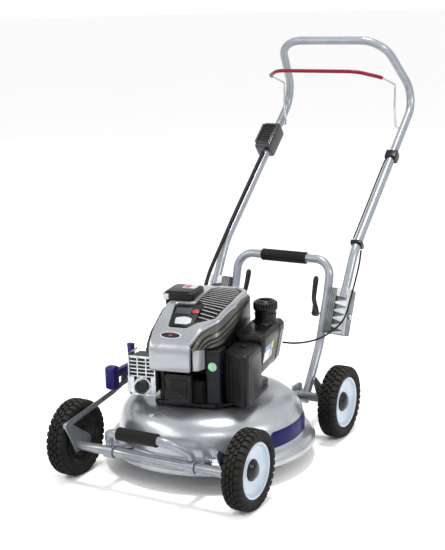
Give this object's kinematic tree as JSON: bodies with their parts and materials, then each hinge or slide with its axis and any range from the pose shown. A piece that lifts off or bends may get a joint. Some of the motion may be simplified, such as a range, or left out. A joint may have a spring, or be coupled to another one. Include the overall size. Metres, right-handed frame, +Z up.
{
  "type": "petrol lawn mower",
  "caption": "Walk-behind petrol rotary mower: round pressed deck, upright-shaft engine, folding tube handle with stop bar, and linked axles that set the cutting height.",
  "frame": {"origin": "on the floor, in the middle of the machine's width and of its whole length from the front carrying handle to the handlebar's bend", "axes": "+Z up, +Y to the rear, where the user walks, +X to the right of someone looking at the machine's front"},
  "size_m": [0.558, 1.3207, 1.0743],
  "materials": {
    "silver_paint": "satin silver paint",
    "tube_paint": "satin grey paint",
    "zinc_steel": "zinc plated",
    "bright_steel": "bright",
    "cast_aluminium": "as cast",
    "cast_iron": "rough",
    "blade_steel": "dark, ground edge",
    "tyre_rubber": "matt",
    "rim_plastic": "pale blue-white, gloss",
    "grip_foam": "ribbed foam",
    "black_plastic": "satin black",
    "grey_plastic": "satin dark grey",
    "engine_silver": "silver, satin",
    "blue_plastic": "blue-violet, satin",
    "red_sleeve": "dark red",
    "cable_jacket": "black"
  },
  "bodies": {
    "chassis": {"deck_shell": "silver_paint", "front_bearing_left": "silver_paint", "front_bearing_right": "silver_paint", "rear_bearing_left": "silver_paint", "rear_bearing_right": "silver_paint", "carry_handle": "tube_paint", "carry_grip": "grip_foam", "rear_frame": "tube_paint", "rear_grip": "grip_foam", "frame_bracket_left": "cast_aluminium", "frame_bracket_right": "cast_aluminium", "clamp_bolt_left": "bright_steel", "clamp_bolt_right": "bright_steel", "notch_plate": "zinc_steel", "crankcase": "cast_aluminium", "cylinder": "cast_aluminium", "rocker_cover": "black_plastic", "blower_housing": "black_plastic", "engine_cover": "engine_silver", "intake_grille": "black_plastic", "engine_panel": "grey_plastic", "air_filter_cover": "black_plastic", "fuel_tank": "black_plastic", "muffler": "bright_steel", "muffler_guard": "bright_steel", "brake_cable_lower": "cable_jacket", "wiring_lower": "cable_jacket"},
    "crank": {"crankshaft": "bright_steel", "flywheel": "cast_aluminium", "blade_hub": "cast_iron", "blade": "blade_steel", "blade_bolt": "bright_steel"},
    "front_axle_body": {"front_axle": "zinc_steel"},
    "rear_axle_body": {"rear_axle": "zinc_steel"},
    "wheel_front_left": {"tyre_front_left": "tyre_rubber", "rim_front_left": "rim_plastic"},
    "wheel_front_right": {"tyre_front_right": "tyre_rubber", "rim_front_right": "rim_plastic"},
    "wheel_rear_left": {"tyre_rear_left": "tyre_rubber", "rim_rear_left": "rim_plastic"},
    "wheel_rear_right": {"tyre_rear_right": "tyre_rubber", "rim_rear_right": "rim_plastic"},
    "link": {"link_bar": "zinc_steel", "height_grip": "blue_plastic"},
    "trigger": {"height_trigger": "blue_plastic"},
    "handle": {"handlebar": "tube_paint", "switch_housing": "black_plastic", "cable_anchor": "black_plastic", "cable_clip": "black_plastic", "handle_bracket_left": "cast_aluminium", "handle_bracket_right": "cast_aluminium", "brake_cable_upper": "cable_jacket", "wiring_upper": "cable_jacket"},
    "bail": {"bail_wire": "bright_steel", "bail_sleeve": "red_sleeve"},
    "lever_left": {"clamp_lever_left": "black_plastic"},
    "lever_right": {"clamp_lever_right": "black_plastic"},
    "battery_pack": {"battery": "black_plastic"},
    "tank_cap": {"fuel_cap": "black_plastic"},
    "filler_cap": {"oil_cap": "black_plastic"}
  },
  "joints": [
    {"name": "crank_spin", "type": "hinge", "parent": "chassis", "child": "crank", "pos_m": [0, -0.2799, 0.18], "axis": [0, 0, 1], "continuous": true},
    {"name": "front_axle_turn", "type": "hinge", "parent": "chassis", "child": "front_axle_body", "pos_m": [0, -0.5929, 0.098], "axis": [1, 0, 0], "range_deg": [-40, 0]},
    {"name": "rear_axle_turn", "type": "hinge", "parent": "chassis", "child": "rear_axle_body", "pos_m": [0, -0.0489, 0.116], "axis": [1, 0, 0], "range_deg": [-40, 0]},
    {"name": "link_turn", "type": "hinge", "parent": "front_axle_body", "child": "link", "pos_m": [-0.2222, -0.6349, 0.162], "axis": [1, 0, 0], "range_deg": [0, 40]},
    {"name": "wheel_front_left_spin", "type": "hinge", "parent": "front_axle_body", "child": "wheel_front_left", "pos_m": [-0.2535, -0.5519, 0.1], "axis": [1, 0, 0], "continuous": true},
    {"name": "wheel_front_right_spin", "type": "hinge", "parent": "front_axle_body", "child": "wheel_front_right", "pos_m": [0.2535, -0.5519, 0.1], "axis": [1, 0, 0], "continuous": true},
    {"name": "wheel_rear_left_spin", "type": "hinge", "parent": "rear_axle_body", "child": "wheel_rear_left", "pos_m": [-0.2535, -0.0079, 0.1], "axis": [1, 0, 0], "continuous": true},
    {"name": "wheel_rear_right_spin", "type": "hinge", "parent": "rear_axle_body", "child": "wheel_rear_right", "pos_m": [0.2535, -0.0079, 0.1], "axis": [1, 0, 0], "continuous": true},
    {"name": "trigger_pull", "type": "hinge", "parent": "link", "child": "trigger", "pos_m": [-0.2105, -0.3419, 0.238], "axis": [1, 0, 0], "range_deg": [0, 15], "stiffness_Nm_per_rad": 0.6, "springref_deg": -11.46},
    {"name": "handle_fold", "type": "hinge", "parent": "chassis", "child": "handle", "pos_m": [0, 0.1181, 0.308], "axis": [1, 0, 0], "range_deg": [-10, 115], "deforming": ["brake_cable_lower", "wiring_lower"]},
    {"name": "bail_pull", "type": "hinge", "parent": "handle", "child": "bail", "pos_m": [0, 0.5776, 0.7935], "axis": [-1, 0, 0], "range_deg": [0, 24], "stiffness_Nm_per_rad": 3, "springref_deg": -17.19},
    {"name": "lever_left_open", "type": "hinge", "parent": "chassis", "child": "lever_left", "pos_m": [-0.124, 0.1181, 0.308], "axis": [0, 0.9315, -0.3638], "range_deg": [0, 90]},
    {"name": "lever_right_open", "type": "hinge", "parent": "chassis", "child": "lever_right", "pos_m": [0.124, 0.1181, 0.308], "axis": [0, -0.9315, 0.3638], "range_deg": [0, 90]},
    {"name": "battery_slide", "type": "slide", "parent": "chassis", "child": "battery_pack", "axis": [-0.9848, -0.1736, 0], "range_m": [0, 0.06]},
    {"name": "fuel_cap_turn", "type": "hinge", "parent": "chassis", "child": "tank_cap", "pos_m": [0.1064, -0.1637, 0.385], "axis": [0, 0, 1], "range_deg": [0, 120]},
    {"name": "oil_cap_turn", "type": "hinge", "parent": "chassis", "child": "filler_cap", "pos_m": [-0.1406, -0.2539, 0.3], "axis": [0, 0, 1], "range_deg": [0, 120]}
  ],
  "couplings": [
    {"joint": "rear_axle_turn", "follows": "front_axle_turn", "ratio": 1},
    {"joint": "link_turn", "follows": "front_axle_turn", "ratio": -1}
  ]
}
